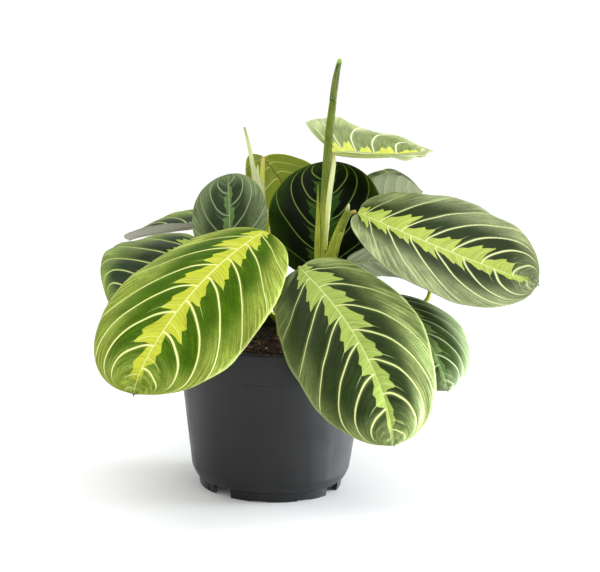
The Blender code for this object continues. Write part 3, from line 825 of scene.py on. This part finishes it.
bm = bmesh.new()
bmesh.ops.create_grid(bm, x_segments=48, y_segments=24, size=1)
wound = {}
for vert in bm.verts:
    around, part = (vert.co.x + 1) / 2, (vert.co.y + 1) / 2
    x, y, z, radius = along_curve(ROLL, part)
    angle = 2 * pi * ROLL_TURNS * around + ROLL_START
    away = radius * (INMOST + (1 - INMOST) * around)
    slip = 0.0012 * around * part
    vert.co = AXIS + Vector((x + away * cos(angle), y + away * sin(angle), z - slip))
    wound[vert] = (part, around)
map_leaf(bm, wound)
bmesh.ops.recalc_face_normals(bm, faces=bm.faces)
roll = as_piece("dressed_rolled_leaf", bm, "rolled_leaf", (roll_finish(),))
thicken(roll, thickness=0.0003, offset=0)
print("rolled leaf winds", ROLL_TURNS, "turns")

# %% [markdown]
# ## The nursery pot
# The pot is one thin moulded shell: a rolled lip, a broad band, a tapered wall, a rounded corner
# and a foot ring with notches that let water out.  It could be hollowed out of a cylinder, ring by
# ring.  Here a profile is drawn, its corners rounded, and spun once round, which gives the walls
# and lips in one go.

# %% Pot finish
def make_pot_finish():
    """Black moulded plastic with a soft gloss, faintly cloudy, lighter in faint streaks up and down."""
    made, tree, shader = new_material("pot_plastic", 0.44, 0.38)
    haze = cloud(tree, on_object(tree), 26, detail=4)
    grain = cloud(tree, on_object(tree), 900, detail=2)
    upright_streaks = cloud(tree, stretched(tree, on_object(tree), (1, 1, 0.05)), 160, detail=4)
    base = blend(tree, soft_step(tree, haze, 0.3, 0.7), paint(14, 14, 15), paint(21, 21, 22))
    base = blend(tree, soft_step(tree, upright_streaks, 0.55, 0.8, 0, 0.35), base, paint(36, 37, 39))
    dull = calc(tree, "ADD", soft_step(tree, haze, 0.3, 0.7, 0.36, 0.48),
                soft_step(tree, upright_streaks, 0.4, 0.7, -0.03, 0.05))
    tree.links.new(dull, shader.inputs["Roughness"])
    coat(tree, shader, base, grain, 0.12, 0.0003)
    return made


# %% Pot profile
BAND_HEIGHT, BAND_STEP = 0.0195, 0.0012  # the rim band, and how far it stands proud
BASE_RADIUS, WALL, DRAIN_RADIUS = 0.0493, 0.0015, 0.0045
FOOT_RADIUS, FOOT_HEIGHT = 0.045, 0.0065  # the foot ring, up to the pot's floor
CORNER = 0.006  # height at which the rounded corner above the floor ends
POT_STEPS = 168
band_foot = POT_TOP - BAND_HEIGHT


def wall_radius(height):
    """Outside of the tapered wall at a height."""
    top = RIM - BAND_STEP
    return BASE_RADIUS + (top - BASE_RADIUS) * (height - FOOT_HEIGHT) / (band_foot - FOOT_HEIGHT)


corner = FOOT_HEIGHT + CORNER
profile = [
    (RIM - 0.0004, POT_TOP), (RIM, POT_TOP - 0.0012), (RIM - 0.0003, band_foot + 0.0006),
    (wall_radius(band_foot), band_foot), (wall_radius(corner), corner),
    (BASE_RADIUS - 0.0008, FOOT_HEIGHT + 0.0024), (FOOT_RADIUS + 0.0022, FOOT_HEIGHT + 0.0002),
    (FOOT_RADIUS + 0.0008, FOOT_HEIGHT - 0.0006), (FOOT_RADIUS, 0), (FOOT_RADIUS - 0.0024, 0),
    (FOOT_RADIUS - 0.0028, FOOT_HEIGHT), (DRAIN_RADIUS, FOOT_HEIGHT), (DRAIN_RADIUS, FOOT_HEIGHT + WALL),
    (FOOT_RADIUS - 0.001, FOOT_HEIGHT + WALL), (wall_radius(corner) - WALL, corner + 0.0005),
    (wall_radius(band_foot) - WALL, band_foot), (RIM - 0.0004 - WALL, POT_TOP),
]
bm = spun(profile, POT_STEPS, closed=True, rounding=0.00055)
bmesh.ops.recalc_face_normals(bm, faces=bm.faces)
print("pot shell:", len(bm.faces), "faces")
pot_finish = make_pot_finish()
pot = as_piece("dressed_pot", bm, "pot", (pot_finish,))

# %% [markdown]
# ## Notches in the foot ring
# Two broad feet and two narrow ones remain between four notches.  Each notch is a block with
# rounded upper corners; two shallow ones relieve the lower edge of the broad front foot, and four
# thin slits stand in the feet.  They could be shaped by hand, but as blocks in one Boolean they
# leave the ring round, and their widths and bearings stay in a list.

# %% Cutting the notches
FOOT_MIDDLE, NOTCH_SPREAD = 10, 50.5  # bearings, in degrees from -Y
NOTCHES = [  # (bearing, degrees wide, height, rounding) of each
    (FOOT_MIDDLE + half + side * NOTCH_SPREAD, 18, 0.0057, 0.0012)
    for half in (0, 180) for side in (-1, 1)
]
NOTCHES += [(bearing, 12, 0.0008, 0.0003) for bearing in (-7, 29)]
NOTCHES += [(bearing, 1.6, 0.0042, 0.0004) for bearing in (-56, 80, 124, 260)]
REACH = 0.014  # length of each block across the foot ring


def notch_block(bearing, degrees, height, corner):
    """A block across the foot ring at a bearing from -Y, rounded along its upper corners."""
    bm = bmesh.new()
    bmesh.ops.create_cube(bm, size=1)
    across = 2 * FOOT_RADIUS * sin(radians(degrees / 2))
    bmesh.ops.scale(bm, verts=bm.verts, vec=(across, REACH, 2 * height))
    upper = [edge for edge in bm.edges
             if all(v.co.z > 0 for v in edge.verts) and abs(edge.verts[0].co.x - edge.verts[1].co.x) < 1e-6]
    bmesh.ops.bevel(bm, geom=upper, offset=corner, segments=5, profile=0.5, affect="EDGES", material=-1)
    turn = radians(bearing)
    bmesh.ops.rotate(bm, verts=bm.verts, cent=(0, 0, 0), matrix=Matrix.Rotation(turn, 3, "Z"))
    spot = Vector((sin(turn), -cos(turn), 0)) * FOOT_RADIUS
    bmesh.ops.translate(bm, verts=bm.verts, vec=spot)
    return bpy.data.objects.new("notch", mesh_of("notch", bm))


blocks = [notch_block(*notch) for notch in NOTCHES]
heap = bpy.data.collections.new("notches")
scene.collection.children.link(heap)
for block in blocks:
    heap.objects.link(block)
cut = pot.modifiers.new("cut", "BOOLEAN")
cut.operation, cut.operand_type, cut.collection, cut.solver = "DIFFERENCE", "COLLECTION", heap, "EXACT"
bpy.context.view_layer.update()
whole = bpy.data.meshes.new_from_object(pot.evaluated_get(bpy.context.evaluated_depsgraph_get()))
pot.modifiers.clear()
for block in blocks:
    bpy.data.objects.remove(block, do_unlink=True)
bpy.data.collections.remove(heap)
whole.transform(Matrix.Translation(AXIS))
whole.materials.clear()
whole.materials.append(pot_finish)
whole.set_sharp_from_angle(angle=radians(40))
pot.data = whole
print("pot with notches:", len(whole.polygons), "faces")

# %% [markdown]
# ## The soil
# Potting soil is a dark mix of peat crumbs, bark chips and a few pale grains.  Bump alone would
# look flat where the soil meets the rim, so the plug is a lumpy disc with a skirt down inside the
# pot, and crumbs and chips of a few faces each are strewn over it, half sunk in.

# %% Soil finish
def make_soil_finish(name, dark, light):
    """Damp crumbly peat, lighter in patches."""
    made, tree, shader = new_material(name, 0.95)
    coarse = cloud(tree, on_object(tree), 230, detail=5, rough=0.65)
    fine = cloud(tree, on_object(tree), 1100, detail=4, rough=0.7)
    base = blend(tree, soft_step(tree, coarse, 0.38, 0.68), paint(*dark), paint(*light))
    base = blend(tree, soft_step(tree, fine, 0.58, 0.74, 0, 0.6), base, paint(112, 84, 58))
    coat(tree, shader, base, fine, 0.8, 0.0008)
    return made


peat = make_soil_finish("peat_crumbs", (30, 20, 13), (66, 44, 28))
bark = make_soil_finish("bark_chips", (70, 44, 26), (124, 84, 52))
grains = make_soil_finish("pale_grains", (150, 138, 116), (206, 198, 178))

# %% Soil plug
SOIL_TOP = 0.088
RINGS = 54
LUMPS = ((0.0016, 90, 0), (0.0011, 260, 3), (0.0006, 700, 6))  # height, fineness, seed
soil_edge = wall_radius(SOIL_TOP) - WALL - 0.0009
soil_floor = FOOT_HEIGHT + WALL + 0.0003
section = [(soil_edge * ring / RINGS, SOIL_TOP) for ring in range(RINGS + 1)]
section += [(wall_radius(band_foot) - WALL - 0.0007, band_foot), (FOOT_RADIUS - 0.0025, soil_floor),
            (0, soil_floor)]


def soil_height(x, y):
    """Height of the lumpy soil at a place round the pot's axis."""
    lumps = (high * noise.noise(Vector((x * fine, y * fine, seed))) for high, fine, seed in LUMPS)
    return SOIL_TOP + sum(lumps)


bm = spun(section, 150)
for vert in bm.verts:
    if vert.co.z > SOIL_TOP - 0.0001:
        vert.co.z = soil_height(vert.co.x, vert.co.y)
    vert.co += AXIS
bmesh.ops.recalc_face_normals(bm, faces=bm.faces)
soil = as_piece("dressed_soil", bm, "soil", (peat,))
print("soil plug faces:", len(soil.data.polygons))

# %% Crumbs and chips
draw = random.Random(5)


def strew(name, count, sizes, finish, chips=False):
    """Strew crumbs, or flat chips, over the soil in one piece."""
    bm = bmesh.new()
    for _ in range(count):
        away = (soil_edge - 0.0012) * sqrt(draw.random())
        angle = 2 * pi * draw.random()
        x, y = away * cos(angle), away * sin(angle)
        size = draw.uniform(*sizes)
        turn = Matrix.Rotation(draw.uniform(0, 6.28), 4, "Z")
        turn @= Matrix.Rotation(draw.uniform(-0.5, 0.5), 4, "X")
        thin = 0.3 if chips else 0.8
        shape = (size * draw.uniform(0.8, 1.6), size * draw.uniform(0.6, 1), size * thin)
        spot = Matrix.Translation(AXIS + Vector((x, y, soil_height(x, y) + shape[2] * 0.25)))
        matrix = spot @ turn @ Matrix.Diagonal((*shape, 1))
        if chips:
            made = bmesh.ops.create_cube(bm, size=1.6, matrix=matrix)["verts"]
        else:
            made = bmesh.ops.create_icosphere(bm, subdivisions=1, radius=1, matrix=matrix)["verts"]
        for vert in made:
            vert.co += Vector([draw.uniform(-0.22, 0.22) * size for _ in range(3)])
    print(name, "faces:", len(bm.faces))
    as_piece(name, bm, None, (finish,), smooth=False)


strew("soil_crumbs", 2600, (0.0005, 0.0016), peat)
strew("soil_bark", 260, (0.001, 0.0026), bark, chips=True)
strew("soil_grains", 60, (0.0005, 0.001), grains)

# %% [markdown]
# ## Floor, light and a white studio
# The floor is plain and pale.  Lamps alone would leave satin leaves dull between their highlights,
# so the plant stands in a bright even surround, stronger from above and from the right, which gives
# the leaves their sheen and the pot a long soft reflection down its right side.  Three soft lights
# add a little direction; none of them is seen by the camera.

# %% Floor
bm = bmesh.new()
bmesh.ops.create_grid(bm, x_segments=1, y_segments=1, size=3)
floor = place_in_scene("floor", mesh_of("floor", bm))
floor_paint, tree, shader = new_material("floor_paint", 0.9)
patch = soft_step(tree, cloud(tree, on_object(tree), 2), 0.3, 0.7, 0.93, 0.95)
tree.links.new(grey_of(tree, patch), shader.inputs["Base Color"])
floor.data.materials.append(floor_paint)

# %% Surround
HORIZON, ZENITH = 0.5, 1.25  # how strongly the surround shines from the side and from above
WINDOW = 0.55  # how much more it shines from the right, low down
world = bpy.data.worlds.new("studio")
scene.world = world
world.use_nodes = True
sky = world.node_tree
surround = sky.nodes["Background"]
surround.inputs["Color"].default_value = (1, 1, 1, 1)
way = node_of(sky, "TexCoord").outputs["Generated"]
rightward, _, upward = node_of(sky, "SeparateXYZ", way).outputs
window = product(sky, soft_step(sky, rightward, 0.2, 0.9), soft_step(sky, upward, 0.1, 0.5, WINDOW, 0))
shine = calc(sky, "ADD", soft_step(sky, upward, 0, 0.85, HORIZON, ZENITH), window)
to_camera = node_of(sky, "LightPath").outputs["Is Camera Ray"]
strength = calc(sky, "MULTIPLY_ADD", to_camera, calc(sky, "SUBTRACT", 1, shine), shine)
sky.links.new(strength, surround.inputs["Strength"])


# %% Lamps
def soft_light(name, place, aim, size, power, tint=(1, 1, 1), spread=180):
    """A large soft rectangular light aimed at a point."""
    lamp = bpy.data.lights.new(name, "AREA")
    lamp.shape = "RECTANGLE"
    lamp.size, lamp.size_y = size
    lamp.energy = power
    lamp.color = tint
    lamp.spread = radians(spread)
    holder = place_in_scene(name, lamp)
    holder.location = place
    holder.rotation_euler = (Vector(aim) - Vector(place)).to_track_quat("-Z", "Y").to_euler()
    holder.visible_camera = False


soft_light("top_light", (-0.3, -0.6, 1.5), (0, 0, 0.12), (1, 1), 8)
soft_light("side_light", (0.95, 0.2, 0.1), (0, 0, 0.05), (0.45, 0.2), 4, (0.92, 0.96, 1))
soft_light("low_light", (0.42, 0.06, 0.035), (0.04, 0, 0.035), (0.3, 0.06), 0.8, (0.86, 0.91, 1), 45)
scene.view_settings.view_transform = "Standard"
print("lights:", len(bpy.data.lights))
